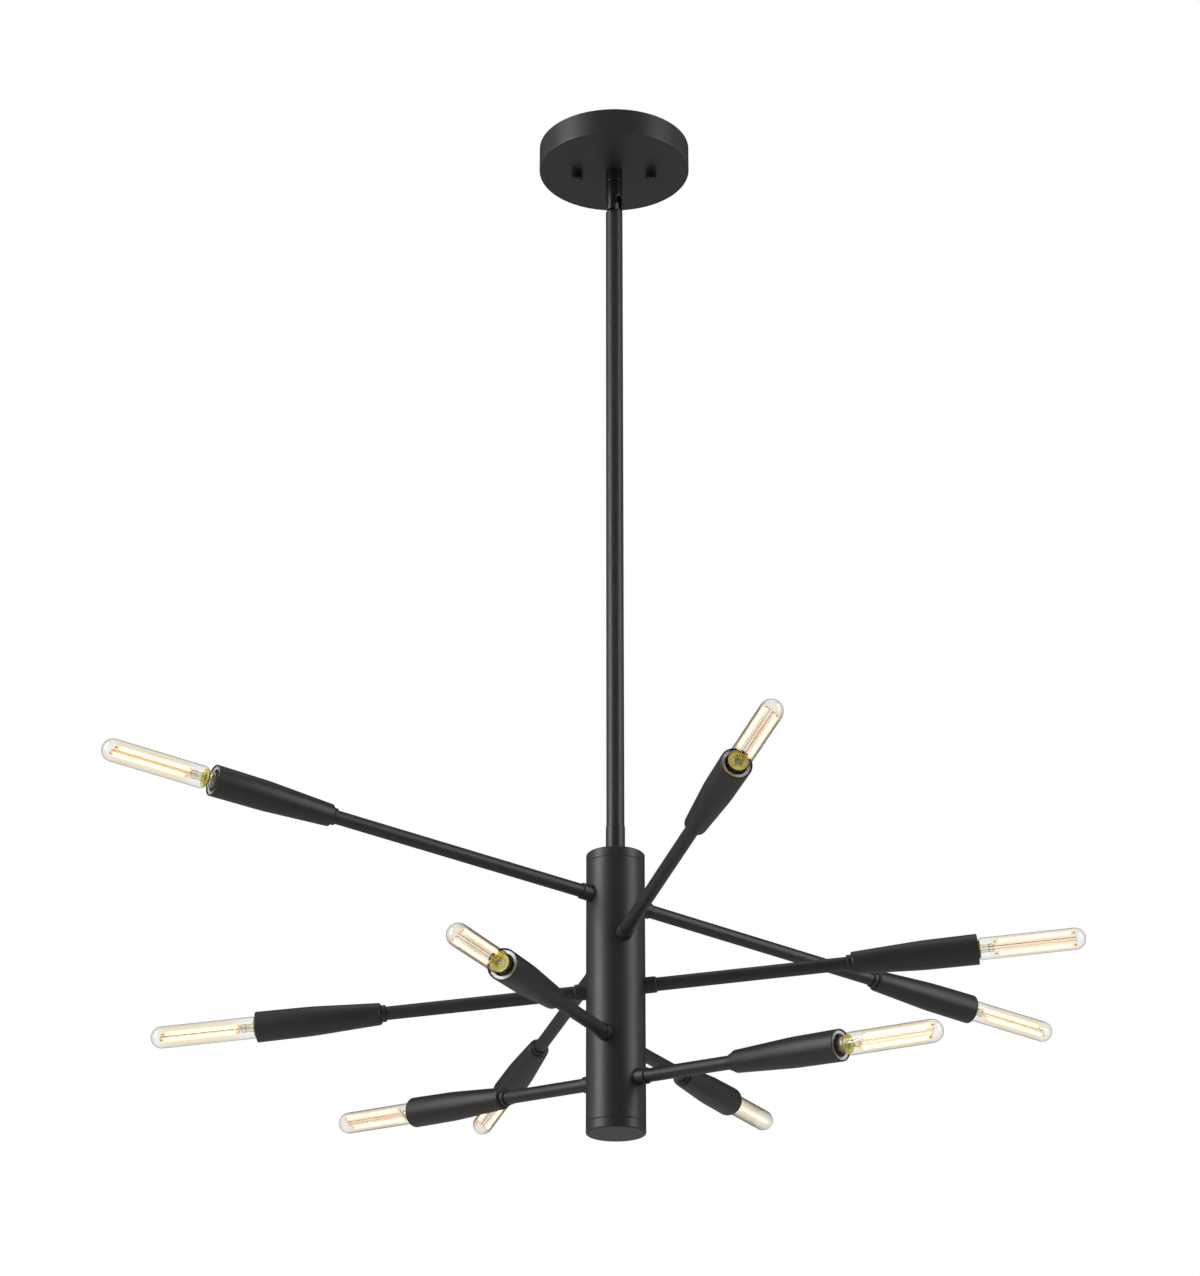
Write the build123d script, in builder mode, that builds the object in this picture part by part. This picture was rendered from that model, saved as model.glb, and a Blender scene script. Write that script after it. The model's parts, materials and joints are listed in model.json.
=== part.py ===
"""Chandelier: a canopy, a tilting swivel, a long stem and a column with ten skewed arms, each ending
in a cup with a tubular bulb. Millimetres, +Z up, origin at the middle of the canopy's rim, which lies
on the ceiling. Heights in this file are counted from that plane, so they are negative."""

from math import cos, radians, sin
import os

from build123d import *

os.makedirs("parts", exist_ok=True)

# Overall drop and the pan at the ceiling
DROP = 960.9  # ceiling to the underside of the column
CANOPY_D = 142.0
CANOPY_H = 25.4
CANOPY_WALL = 1.2
CANOPY_EDGE_R = 1.6  # rounded lower edge of the spun pan

# Bar on the outlet box, with the studs that carry the pan
BAR_W = 19.0
BAR_T = 2.0
BOX_SLOT_L = 14.0
BOX_SLOT_W = 5.0
BAR_END = 4.5  # metal beyond each slot
BAR_CENTRE_HOLE_D = 10.6
STUD_SPACING = 69.85
STUD_TO_SLOT = 9.525  # the outlet-box slots lie this far outside the studs
STUD_D = 4.0
CAP_NUT_D = 9.8
CAP_NUT_H = 9.5
LOCK_NUT_AF = 8.0
LOCK_NUT_H = 3.0
GROUND_X = 20.0
GROUND_HEAD_D = 8.0
GROUND_HEAD_H = 2.5

# Threaded nipple through the pan, its nut and the collar below
NIPPLE_D = 9.8
NIPPLE_BORE_D = 6.4
NIPPLE_RISE = 6.0  # above the nut, inside the pan
NIPPLE_GROOVE_D = 8.2
NIPPLE_GROOVE_L = 3.8
NIPPLE_ENGAGE = 11.4  # how far it reaches into the yoke
PIPE_NUT_AF = 14.0
PIPE_NUT_H = 4.0
NECK_D = 15.9
NECK_H = 11.6

# Swivel: a forked yoke that turns on the nipple and a hollow tongue that tilts in its slot
SWIVEL_SEAM = 0.3  # air between the collar and the turning yoke
YOKE_D = 15.8
YOKE_H = 31.3
SLOT_W = 6.4
SLOT_CROWN = 7.0  # top of the slot above the pivot
SLOT_HEADING = -51.0  # the way the slot faces, from +X
PIVOT_PIN_D = 3.2
TONGUE_SIDE_GAP = 0.3
TONGUE_EYE_R = 4.6
TONGUE_BORE_D = 3.4  # way for the leads
TONGUE_DISC_H = 3.0
TONGUE_DISC_BEVEL = 1.2
TONGUE_SPIGOT_L = 12.0
TILT_GAP = 0.5  # air between the ears' round ends and the disc
SET_SCREW_D = 3.0
SET_SCREW_GAP = 0.3  # air under the screw's tip, in the groove

# Stem and the collar that joins it to the column
STEM_D = 15.8
STEM_WALL = 1.2
COUPLING_D = 16.8
COUPLING_H = 26.0
COUPLING_SOCKET = 12.0
COUPLING_WEB = 2.0

# Column, its end caps and the pipe that ties them together
COLUMN_D = 50.8
COLUMN_H = 247.2
COLUMN_WALL = 2.0
TOP_CAP_H = 8.6
BOTTOM_CAP_H = 8.9
CAP_SPIGOT_H = 4.0
CAP_EDGE = 0.8
CAP_SEAM = 0.4  # small bevel that draws the seam line
PIPE_D = 9.6
PIPE_BORE_D = 6.4
PIPE_SEAT = 6.0  # depth of the blind seat in the bottom cap
WIRE_WINDOW_D = 5.0

# Arms: five levels of two, the near end first, with the near end's rise as a positive tilt
LEVEL_SHARE = (0.832, 0.672, 0.513, 0.333, 0.188)  # heights, as shares of the column from below
NEAR_HEADING = (211.4, 286.2, 355.4, 249.4, 319.6)
FAR_HEADING = (32.1, 107.9, 175.7, 65.8, 139.0)
LEVEL_TILT = (5.4, 7.15, 4.95, -1.85, -3.4)
REACH = 384.2  # column axis to the mouths of the top level's cups, along the arm
REACH_SHARE = (1.0, 0.88, 0.806, 0.654, 0.616)  # each level's share of it
TUBE_D = 11.7
TUBE_WALL = 1.2
TUBE_INSIDE = 6.4  # tube end behind the column's inner wall
BOSS_D = 14.1
BOSS_OUT = 9.6
BOSS_IN = 2.9  # boss end behind the column's inner wall
BOSS_BEVEL = 0.6
ARM_NUT_AF = 16.0
ARM_NUT_H = 3.0

# Cup at the end of each arm
CUP_L = 107.8
CUP_NECK_D = 14.6
CUP_NECK_L = 4.0
CUP_SHOULDER_D = 18.9
CUP_SHOULDER_R = 2.0
CUP_TAPER_L = 60.0
CUP_TAPER_D = 25.4
CUP_MOUTH_D = 26.4
CUP_WALL = 1.2  # thin rim round the mouth
CUP_LEDGE = 1.0  # from the mouth down to the bright ledge
CUP_DEPTH = 46.0

# Lamp holder and the tubular bulb screwed into it, placed from the cup's mouth
SOCKET_D = 17.6
SOCKET_GAP = 0.5  # air round the lamp holder in the cup's bore
SOCKET_SETBACK = 11.5  # the deepest one's nose behind the mouth
SOCKET_BORE_L = 20.0
SEAT_RISE = (5.7, 1.8, 2.1, 1.1, 0.0, 0.0, 4.7, 1.7, 5.5, 1.3)  # each one's seat above the deepest
BASE_SHELL_D = 11.9
BASE_SKIRT_D = 13.3
BASE_SKIRT_L = 10.0
BASE_OUT = 11.0  # skirt end in front of the lamp holder's nose
BASE_SHELL_L = 13.0
BASE_CONTACT_D = 4.6
BASE_CONTACT_GAP = 0.1  # under the contact, with the bulb screwed home
BULB_D = 18.8
BULB_HEEL_L = 4.0
BULB_L = 92.3  # glass from the base to its tip
BULB_WALL = 0.9
FILAMENT_START = 17.0  # from the base, along the bulb
FILAMENT_L = 65.0
FILAMENT_OFFSET = 4.6
FILAMENT_T = 0.9
MOUNT_W = 2.4

# Clearances, each taken on the radius
RUNNING = 0.05  # turning and sliding fits
SEATED = 0.10  # fixed pieces that plug together

# Bar, reaches and heights that follow from the sizes above
BOX_SCREW_SPACING = STUD_SPACING + 2 * STUD_TO_SLOT
BAR_L = BOX_SCREW_SPACING + BOX_SLOT_L + 2 * BAR_END
PAN_Z = -CANOPY_H
PAN_FLOOR_Z = PAN_Z + CANOPY_WALL
NUT_TOP_Z = PAN_FLOOR_Z + PIPE_NUT_H
NECK_Z = PAN_Z - NECK_H
YOKE_TOP_Z = NECK_Z - SWIVEL_SEAM
PIVOT_Z = YOKE_TOP_Z - YOKE_H + YOKE_D / 2
NIPPLE_END_Z = YOKE_TOP_Z - NIPPLE_ENGAGE
GROOVE_Z = YOKE_TOP_Z - NIPPLE_ENGAGE / 2
DISC_Z = PIVOT_Z - YOKE_D / 2 - TILT_GAP
STEM_TOP_Z = DISC_Z - TONGUE_DISC_H
COLUMN_Z = -DROP
COLUMN_TOP_Z = COLUMN_Z + COLUMN_H
TOP_SEAM_Z = COLUMN_TOP_Z - TOP_CAP_H
BOTTOM_SEAM_Z = COLUMN_Z + BOTTOM_CAP_H
COUPLING_TOP_Z = COLUMN_TOP_Z + COUPLING_H
STEM_END_Z = COUPLING_TOP_Z - COUPLING_SOCKET
PIPE_TOP_Z = STEM_END_Z - COUPLING_WEB
PIPE_END_Z = BOTTOM_SEAM_Z - PIPE_SEAT

# Radii that more than one piece uses
COLUMN_R = COLUMN_D / 2
COLUMN_BORE_R = COLUMN_R - COLUMN_WALL
STEM_BORE_R = STEM_D / 2 - STEM_WALL
SPIGOT_R = COLUMN_BORE_R - SEATED
TUBE_R = TUBE_D / 2
CUP_RIM_R = CUP_MOUTH_D / 2 - CUP_WALL
CUP_BORE_R = SOCKET_D / 2 + SOCKET_GAP
SOCKET_BORE_R = BASE_SHELL_D / 2 + RUNNING
BULB_R = BULB_D / 2
BULB_IN_R = BULB_R - BULB_WALL

# Stations along an arm, from the column's axis
TUBE_START = COLUMN_BORE_R - TUBE_INSIDE
BOSS_START = COLUMN_BORE_R - BOSS_IN
BOSS_END = COLUMN_R + BOSS_OUT


def arm_plane(height, heading, tilt):
    """Plane through an arm's axis: local X runs outwards along the arm, local Y is the radius."""
    turn, rise = radians(heading), radians(tilt)
    along = (cos(turn) * cos(rise), sin(turn) * cos(rise), sin(rise))
    return Plane(origin=(0, 0, COLUMN_Z + height), x_dir=along, z_dir=(sin(turn), -cos(turn), 0))


def arm_axis(plane):
    return Axis(plane.origin, plane.x_dir)


# One entry per level, each with its two arms as (plane, distance to the cup's mouth)
LEVELS = []
for share, near, far, tilt, part in zip(
    LEVEL_SHARE, NEAR_HEADING, FAR_HEADING, LEVEL_TILT, REACH_SHARE
):
    height, reach = share * COLUMN_H, part * REACH
    LEVELS.append([(arm_plane(height, near, tilt), reach), (arm_plane(height, far, -tilt), reach)])
ARMS = [arm for level in LEVELS for arm in level]


# Spun pan against the ceiling, open at the top, with a centre hole and two stud holes
with BuildPart() as canopy:
    with BuildSketch():
        Circle(CANOPY_D / 2)
    extrude(amount=-CANOPY_H)
    fillet(canopy.faces().sort_by(Axis.Z)[0].edges(), radius=CANOPY_EDGE_R)
    offset(amount=-CANOPY_WALL, openings=canopy.faces().sort_by(Axis.Z)[-1:])
    with BuildSketch(Plane.XY.offset(PAN_Z)):
        Circle(NIPPLE_D / 2 + SEATED)
        with GridLocations(STUD_SPACING, 0, 2, 1):
            Circle(STUD_D / 2 + 3 * SEATED)
    extrude(amount=2 * CANOPY_WALL, mode=Mode.SUBTRACT)
canopy.part.label = "canopy"
export_step(canopy.part, "parts/canopy.step")

# Flat strip screwed to the outlet box through its two slots
with BuildPart() as mounting_bar:
    with BuildSketch():
        SlotOverall(BAR_L, BAR_W)
        Circle(BAR_CENTRE_HOLE_D / 2, mode=Mode.SUBTRACT)
        with GridLocations(BOX_SCREW_SPACING, 0, 2, 1):
            SlotOverall(BOX_SLOT_L, BOX_SLOT_W, mode=Mode.SUBTRACT)
        with GridLocations(STUD_SPACING, 0, 2, 1):
            Circle(STUD_D / 2 + SEATED, mode=Mode.SUBTRACT)
        with Locations((GROUND_X, 0)):
            Circle(STUD_D / 2 + SEATED, mode=Mode.SUBTRACT)
    extrude(amount=-BAR_T)
mounting_bar.part.label = "mounting_bar"
export_step(mounting_bar.part, "parts/mounting_bar.step")

# Two studs from the bar down through the pan into the cap nuts
STUD_L = CANOPY_H + 0.7 * CAP_NUT_H
with BuildPart() as canopy_studs:
    with BuildSketch():
        with GridLocations(STUD_SPACING, 0, 2, 1):
            Circle(STUD_D / 2)
    extrude(amount=-STUD_L)
canopy_studs.part.label = "canopy_studs"
export_step(canopy_studs.part, "parts/canopy_studs.step")

# Hexagon nuts that lock the studs under the bar
with BuildPart() as stud_lock_nuts:
    with BuildSketch(Plane.XY.offset(-BAR_T)):
        with GridLocations(STUD_SPACING, 0, 2, 1):
            RegularPolygon(LOCK_NUT_AF / 2, 6, major_radius=False)
            Circle(STUD_D / 2 + SEATED, mode=Mode.SUBTRACT)
    extrude(amount=-LOCK_NUT_H)
stud_lock_nuts.part.label = "stud_lock_nuts"
export_step(stud_lock_nuts.part, "parts/stud_lock_nuts.step")

# Blind cap nuts that hold the pan up
with BuildPart() as cap_nuts:
    with BuildSketch(Plane.XY.offset(PAN_Z)):
        with GridLocations(STUD_SPACING, 0, 2, 1):
            Circle(CAP_NUT_D / 2)
    extrude(amount=-CAP_NUT_H)
    chamfer(cap_nuts.faces().group_by(Axis.Z)[0].edges(), length=CAP_EDGE)
    with BuildSketch(Plane.XY.offset(PAN_Z)):
        with GridLocations(STUD_SPACING, 0, 2, 1):
            Circle(STUD_D / 2 + SEATED)
    extrude(amount=CANOPY_H - STUD_L - SEATED, mode=Mode.SUBTRACT)
cap_nuts.part.label = "cap_nuts"
export_step(cap_nuts.part, "parts/cap_nuts.step")

# Earth screw in the bar
with BuildPart() as ground_screw:
    with BuildSketch():
        with Locations((GROUND_X, 0)):
            Circle(STUD_D / 2)
    extrude(amount=-BAR_T)
    with BuildSketch(Plane.XY.offset(-BAR_T)):
        with Locations((GROUND_X, 0)):
            Circle(GROUND_HEAD_D / 2)
    extrude(amount=-GROUND_HEAD_H)
ground_screw.part.label = "ground_screw"
export_step(ground_screw.part, "parts/ground_screw.step")

# Hollow nipple with the groove that the yoke's set screw runs in
with BuildPart() as nipple:
    with BuildSketch(Plane.XY.offset(NUT_TOP_Z + NIPPLE_RISE)):
        Circle(NIPPLE_D / 2)
        Circle(NIPPLE_BORE_D / 2, mode=Mode.SUBTRACT)
    extrude(amount=NIPPLE_END_Z - NUT_TOP_Z - NIPPLE_RISE)
    with BuildSketch(Plane.XY.offset(GROOVE_Z)):
        Circle(NIPPLE_D)
        Circle(NIPPLE_GROOVE_D / 2, mode=Mode.SUBTRACT)
    extrude(amount=NIPPLE_GROOVE_L / 2, both=True, mode=Mode.SUBTRACT)
nipple.part.label = "nipple"
export_step(nipple.part, "parts/nipple.step")

# Nut that draws the nipple's collar up against the pan
with BuildPart() as nipple_nut:
    with BuildSketch(Plane.XY.offset(PAN_FLOOR_Z)):
        RegularPolygon(PIPE_NUT_AF / 2, 6, major_radius=False)
        Circle(NIPPLE_D / 2 + SEATED, mode=Mode.SUBTRACT)
    extrude(amount=PIPE_NUT_H)
nipple_nut.part.label = "nipple_nut"
export_step(nipple_nut.part, "parts/nipple_nut.step")

# Plain collar below the pan
with BuildPart() as neck_collar:
    with BuildSketch(Plane.XY.offset(PAN_Z)):
        Circle(NECK_D / 2)
        Circle(NIPPLE_D / 2 + SEATED, mode=Mode.SUBTRACT)
    extrude(amount=-NECK_H)
neck_collar.part.label = "neck_collar"
export_step(neck_collar.part, "parts/neck_collar.step")

# Forked yoke: local X is the pivot's axis, local Y the way the slot faces
yoke_plane = Plane.XY.offset(PIVOT_Z).rotated((0, 0, SLOT_HEADING + 90))
pivot_side = Plane(yoke_plane.origin, x_dir=yoke_plane.y_dir, z_dir=yoke_plane.x_dir)
slot_face = Plane(yoke_plane.origin, x_dir=yoke_plane.x_dir, z_dir=-yoke_plane.y_dir)
YOKE_RISE = YOKE_TOP_Z - PIVOT_Z
with BuildPart() as swivel_yoke:
    with BuildSketch(yoke_plane.offset(-YOKE_D / 2)):
        Circle(YOKE_D / 2)
    extrude(amount=YOKE_H)
    with BuildSketch(pivot_side):
        Circle(YOKE_D / 2)
        Rectangle(YOKE_D, YOKE_RISE, align=(Align.CENTER, Align.MIN))
    extrude(amount=YOKE_D, both=True, mode=Mode.INTERSECT)
    with BuildSketch(slot_face):
        with Locations((0, SLOT_CROWN - SLOT_W / 2)):
            Circle(SLOT_W / 2)
            Rectangle(SLOT_W, YOKE_D + SLOT_CROWN, align=(Align.CENTER, Align.MAX))
    extrude(amount=YOKE_D, both=True, mode=Mode.SUBTRACT)
    with BuildSketch(yoke_plane.offset(YOKE_RISE)):
        Circle(NIPPLE_D / 2 + RUNNING)
    extrude(amount=-NIPPLE_ENGAGE - SWIVEL_SEAM, mode=Mode.SUBTRACT)
    with BuildSketch(yoke_plane):
        Circle(NIPPLE_BORE_D / 2)
    extrude(amount=YOKE_RISE, mode=Mode.SUBTRACT)
    with BuildSketch(pivot_side):
        Circle(PIVOT_PIN_D / 2 + RUNNING)
    extrude(amount=YOKE_D, both=True, mode=Mode.SUBTRACT)
    with BuildSketch(slot_face.offset(-YOKE_D)):
        with Locations((0, GROOVE_Z - PIVOT_Z)):
            Circle(SET_SCREW_D / 2 + RUNNING)
    extrude(amount=YOKE_D, mode=Mode.SUBTRACT)
swivel_yoke.part.label = "swivel_yoke"
export_step(swivel_yoke.part, "parts/swivel_yoke.step")

# Two half pins, one in each ear, that leave the tongue's bore free
PIN_INNER = TONGUE_BORE_D / 2 + SEATED
with BuildPart() as pivot_pins:
    for side in (pivot_side, Plane(yoke_plane.origin, x_dir=yoke_plane.y_dir, z_dir=-yoke_plane.x_dir)):
        with BuildSketch(side.offset(PIN_INNER)):
            Circle(PIVOT_PIN_D / 2)
        extrude(amount=YOKE_D / 2 - 4 * SEATED - PIN_INNER)
pivot_pins.part.label = "pivot_pins"
export_step(pivot_pins.part, "parts/pivot_pins.step")

# Set screw that keeps the yoke on the nipple while it turns
with BuildPart() as set_screw:
    with BuildSketch(slot_face.offset(-YOKE_D / 2 + 3 * SEATED)):
        with Locations((0, GROOVE_Z - PIVOT_Z)):
            Circle(SET_SCREW_D / 2)
    extrude(amount=YOKE_D / 2 - 3 * SEATED - NIPPLE_GROOVE_D / 2 - SET_SCREW_GAP)
set_screw.part.label = "set_screw"
export_step(set_screw.part, "parts/set_screw.step")

# Hollow tongue: a rounded eye in the slot, a bevelled disc and a spigot in the stem
TONGUE_T = SLOT_W - 2 * TONGUE_SIDE_GAP
with BuildPart() as swivel_tongue:
    with BuildSketch(pivot_side):
        Circle(TONGUE_EYE_R)
        Rectangle(2 * TONGUE_EYE_R, PIVOT_Z - DISC_Z, align=(Align.CENTER, Align.MAX))
    extrude(amount=TONGUE_T / 2, both=True)
    with BuildSketch(Plane.XZ):
        with BuildLine():
            Polyline(
                (0, DISC_Z),
                (STEM_D / 2 - TONGUE_DISC_BEVEL, DISC_Z),
                (STEM_D / 2, DISC_Z - TONGUE_DISC_BEVEL),
                (STEM_D / 2, STEM_TOP_Z),
                (STEM_BORE_R - SEATED, STEM_TOP_Z),
                (STEM_BORE_R - SEATED, STEM_TOP_Z - TONGUE_SPIGOT_L),
                (0, STEM_TOP_Z - TONGUE_SPIGOT_L),
                close=True,
            )
        make_face()
    revolve(axis=Axis.Z)
    with BuildSketch(pivot_side):
        Circle(PIVOT_PIN_D / 2 + RUNNING)
    extrude(amount=TONGUE_T, both=True, mode=Mode.SUBTRACT)
    with BuildSketch(Plane.XY.offset(PIVOT_Z + TONGUE_EYE_R)):
        Circle(TONGUE_BORE_D / 2)
    extrude(amount=STEM_TOP_Z - TONGUE_SPIGOT_L - PIVOT_Z - TONGUE_EYE_R, mode=Mode.SUBTRACT)
swivel_tongue.part.label = "swivel_tongue"
export_step(swivel_tongue.part, "parts/swivel_tongue.step")

# Long stem tube
with BuildPart() as stem:
    with BuildSketch(Plane.XY.offset(STEM_TOP_Z)):
        Circle(STEM_D / 2)
        Circle(STEM_BORE_R, mode=Mode.SUBTRACT)
    extrude(amount=STEM_END_Z - STEM_TOP_Z)
stem.part.label = "stem"
export_step(stem.part, "parts/stem.step")

# Coupling: the stem drops into its upper socket, the pipe screws into the lower one
with BuildPart() as stem_coupling:
    with BuildSketch(Plane.XY.offset(COLUMN_TOP_Z)):
        Circle(COUPLING_D / 2)
        Circle(PIPE_D / 2 + SEATED, mode=Mode.SUBTRACT)
    extrude(amount=PIPE_TOP_Z - COLUMN_TOP_Z)
    with BuildSketch(Plane.XY.offset(PIPE_TOP_Z)):
        Circle(COUPLING_D / 2)
        Circle(PIPE_BORE_D / 2, mode=Mode.SUBTRACT)
    extrude(amount=COUPLING_WEB)
    with BuildSketch(Plane.XY.offset(STEM_END_Z)):
        Circle(COUPLING_D / 2)
        Circle(STEM_D / 2 + SEATED, mode=Mode.SUBTRACT)
    extrude(amount=COUPLING_SOCKET)
stem_coupling.part.label = "stem_coupling"
export_step(stem_coupling.part, "parts/stem_coupling.step")

# Caps of the column, each with a spigot in the tube
with BuildPart() as top_cap:
    with BuildSketch(Plane.XZ):
        with BuildLine():
            Polyline(
                (PIPE_D / 2 + SEATED, COLUMN_TOP_Z),
                (COLUMN_R - CAP_EDGE, COLUMN_TOP_Z),
                (COLUMN_R, COLUMN_TOP_Z - CAP_EDGE),
                (COLUMN_R, TOP_SEAM_Z + CAP_SEAM),
                (COLUMN_R - CAP_SEAM, TOP_SEAM_Z),
                (SPIGOT_R, TOP_SEAM_Z),
                (SPIGOT_R, TOP_SEAM_Z - CAP_SPIGOT_H),
                (PIPE_D / 2 + SEATED, TOP_SEAM_Z - CAP_SPIGOT_H),
                close=True,
            )
        make_face()
    revolve(axis=Axis.Z)
top_cap.part.label = "top_cap"
export_step(top_cap.part, "parts/top_cap.step")

with BuildPart() as bottom_cap:
    with BuildSketch(Plane.XZ):
        with BuildLine():
            Polyline(
                (0, COLUMN_Z),
                (COLUMN_R - CAP_EDGE, COLUMN_Z),
                (COLUMN_R, COLUMN_Z + CAP_EDGE),
                (COLUMN_R, BOTTOM_SEAM_Z - CAP_SEAM),
                (COLUMN_R - CAP_SEAM, BOTTOM_SEAM_Z),
                (SPIGOT_R, BOTTOM_SEAM_Z),
                (SPIGOT_R, BOTTOM_SEAM_Z + CAP_SPIGOT_H),
                (PIPE_D / 2 + SEATED, BOTTOM_SEAM_Z + CAP_SPIGOT_H),
                (PIPE_D / 2 + SEATED, PIPE_END_Z),
                (0, PIPE_END_Z),
                close=True,
            )
        make_face()
    revolve(axis=Axis.Z)
bottom_cap.part.label = "bottom_cap"
export_step(bottom_cap.part, "parts/bottom_cap.step")

# Column tube, with a skewed hole for each arm's boss
with BuildPart() as column:
    with BuildSketch(Plane.XY.offset(BOTTOM_SEAM_Z)):
        Circle(COLUMN_R)
        Circle(COLUMN_BORE_R, mode=Mode.SUBTRACT)
    extrude(amount=TOP_SEAM_Z - BOTTOM_SEAM_Z)
    for plane, reach in ARMS:
        with BuildSketch(Plane(plane.origin, z_dir=plane.x_dir)):
            Circle(BOSS_D / 2 + SEATED)
        extrude(amount=COLUMN_D, mode=Mode.SUBTRACT)
column.part.label = "column"
export_step(column.part, "parts/column.step")

# Pipe from the coupling to the bottom cap, with windows where the leads come out
with BuildPart() as centre_pipe:
    with BuildSketch(Plane.XY.offset(PIPE_END_Z)):
        Circle(PIPE_D / 2)
        Circle(PIPE_BORE_D / 2, mode=Mode.SUBTRACT)
    extrude(amount=PIPE_TOP_Z - PIPE_END_Z)
    with BuildSketch(Plane.XZ):
        with Locations((0, COLUMN_Z + 0.33 * COLUMN_H), (0, COLUMN_Z + 0.67 * COLUMN_H)):
            Circle(WIRE_WINDOW_D / 2)
    extrude(amount=PIPE_D, both=True, mode=Mode.SUBTRACT)
centre_pipe.part.label = "centre_pipe"
export_step(centre_pipe.part, "parts/centre_pipe.step")

# Nuts that clamp the two caps on the pipe
with BuildPart() as pipe_nuts:
    for seat, rise in (
        (TOP_SEAM_Z - CAP_SPIGOT_H, -PIPE_NUT_H),
        (BOTTOM_SEAM_Z + CAP_SPIGOT_H, PIPE_NUT_H),
    ):
        with BuildSketch(Plane.XY.offset(seat)):
            RegularPolygon(PIPE_NUT_AF / 2, 6, major_radius=False)
            Circle(PIPE_D / 2 + SEATED, mode=Mode.SUBTRACT)
        extrude(amount=rise)
pipe_nuts.part.label = "pipe_nuts"
export_step(pipe_nuts.part, "parts/pipe_nuts.step")

# Bosses in the column's wall, one round each arm
with BuildPart() as arm_bosses:
    for plane, reach in ARMS:
        with BuildSketch(plane):
            with BuildLine():
                Polyline(
                    (BOSS_START, TUBE_R + SEATED),
                    (BOSS_START, BOSS_D / 2),
                    (BOSS_END - BOSS_BEVEL, BOSS_D / 2),
                    (BOSS_END, BOSS_D / 2 - BOSS_BEVEL),
                    (BOSS_END, TUBE_R + SEATED),
                    close=True,
                )
            make_face()
        revolve(axis=arm_axis(plane))
arm_bosses.part.label = "arm_bosses"
export_step(arm_bosses.part, "parts/arm_bosses.step")

# Nuts on the arms' inner ends, which pull each boss into its hole
with BuildPart() as arm_nuts:
    for plane, reach in ARMS:
        with BuildSketch(Plane(plane.origin, z_dir=plane.x_dir).offset(BOSS_START)):
            RegularPolygon(ARM_NUT_AF / 2, 6, major_radius=False)
            Circle(TUBE_R + SEATED, mode=Mode.SUBTRACT)
        extrude(amount=-ARM_NUT_H)
arm_nuts.part.label = "arm_nuts"
export_step(arm_nuts.part, "parts/arm_nuts.step")

# Arm tubes, from inside the column to the floor of the cup
with BuildPart() as arm_tubes:
    for plane, reach in ARMS:
        with BuildSketch(plane):
            with Locations((TUBE_START, TUBE_R - TUBE_WALL)):
                Rectangle(reach - CUP_DEPTH - TUBE_START, TUBE_WALL, align=(Align.MIN, Align.MIN))
        revolve(axis=arm_axis(plane))
arm_tubes.part.label = "arm_tubes"
export_step(arm_tubes.part, "parts/arm_tubes.step")

# Cups: a turned neck ring, a rounded shoulder, a straight taper, an open mouth and a ledge just inside it
SHOULDER_BEND = CUP_SHOULDER_R * cos(radians(45))
for number, level in enumerate(LEVELS, start=1):
    with BuildPart() as cups:
        for plane, reach in level:
            narrow = reach - CUP_L
            with BuildSketch(plane):
                with BuildLine():
                    Polyline(
                        (narrow, CUP_SHOULDER_D / 2 - CUP_SHOULDER_R),
                        (narrow, CUP_NECK_D / 2),
                        (narrow - CUP_NECK_L, CUP_NECK_D / 2),
                        (narrow - CUP_NECK_L, TUBE_R + SEATED),
                        (reach - CUP_DEPTH, TUBE_R + SEATED),
                        (reach - CUP_DEPTH, CUP_BORE_R),
                        (reach - CUP_LEDGE, CUP_BORE_R),
                        (reach - CUP_LEDGE, CUP_RIM_R),
                        (reach, CUP_RIM_R),
                        (reach, CUP_MOUTH_D / 2),
                        (narrow + CUP_TAPER_L, CUP_TAPER_D / 2),
                        (narrow + CUP_SHOULDER_R, CUP_SHOULDER_D / 2),
                    )
                    ThreePointArc(
                        (narrow + CUP_SHOULDER_R, CUP_SHOULDER_D / 2),
                        (
                            narrow + CUP_SHOULDER_R - SHOULDER_BEND,
                            CUP_SHOULDER_D / 2 - CUP_SHOULDER_R + SHOULDER_BEND,
                        ),
                        (narrow, CUP_SHOULDER_D / 2 - CUP_SHOULDER_R),
                    )
                make_face()
            revolve(axis=arm_axis(plane))
    cups.part.label = f"cups_{number}"
    export_step(cups.part, f"parts/cups_{number}.step")

# Lamp holders: each stands on its cup's floor and stops inside the mouth, some deeper than others
with BuildPart() as sockets:
    for (plane, reach), rise in zip(ARMS, SEAT_RISE):
        nose = reach - SOCKET_SETBACK + rise
        with BuildSketch(plane):
            with BuildLine():
                Polyline(
                    (reach - CUP_DEPTH, 0),
                    (reach - CUP_DEPTH, SOCKET_D / 2),
                    (nose, SOCKET_D / 2),
                    (nose, SOCKET_BORE_R),
                    (nose - SOCKET_BORE_L, SOCKET_BORE_R),
                    (nose - SOCKET_BORE_L, 0),
                    close=True,
                )
            make_face()
        revolve(axis=arm_axis(plane))
sockets.part.label = "sockets"
export_step(sockets.part, "parts/sockets.step")

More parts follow.
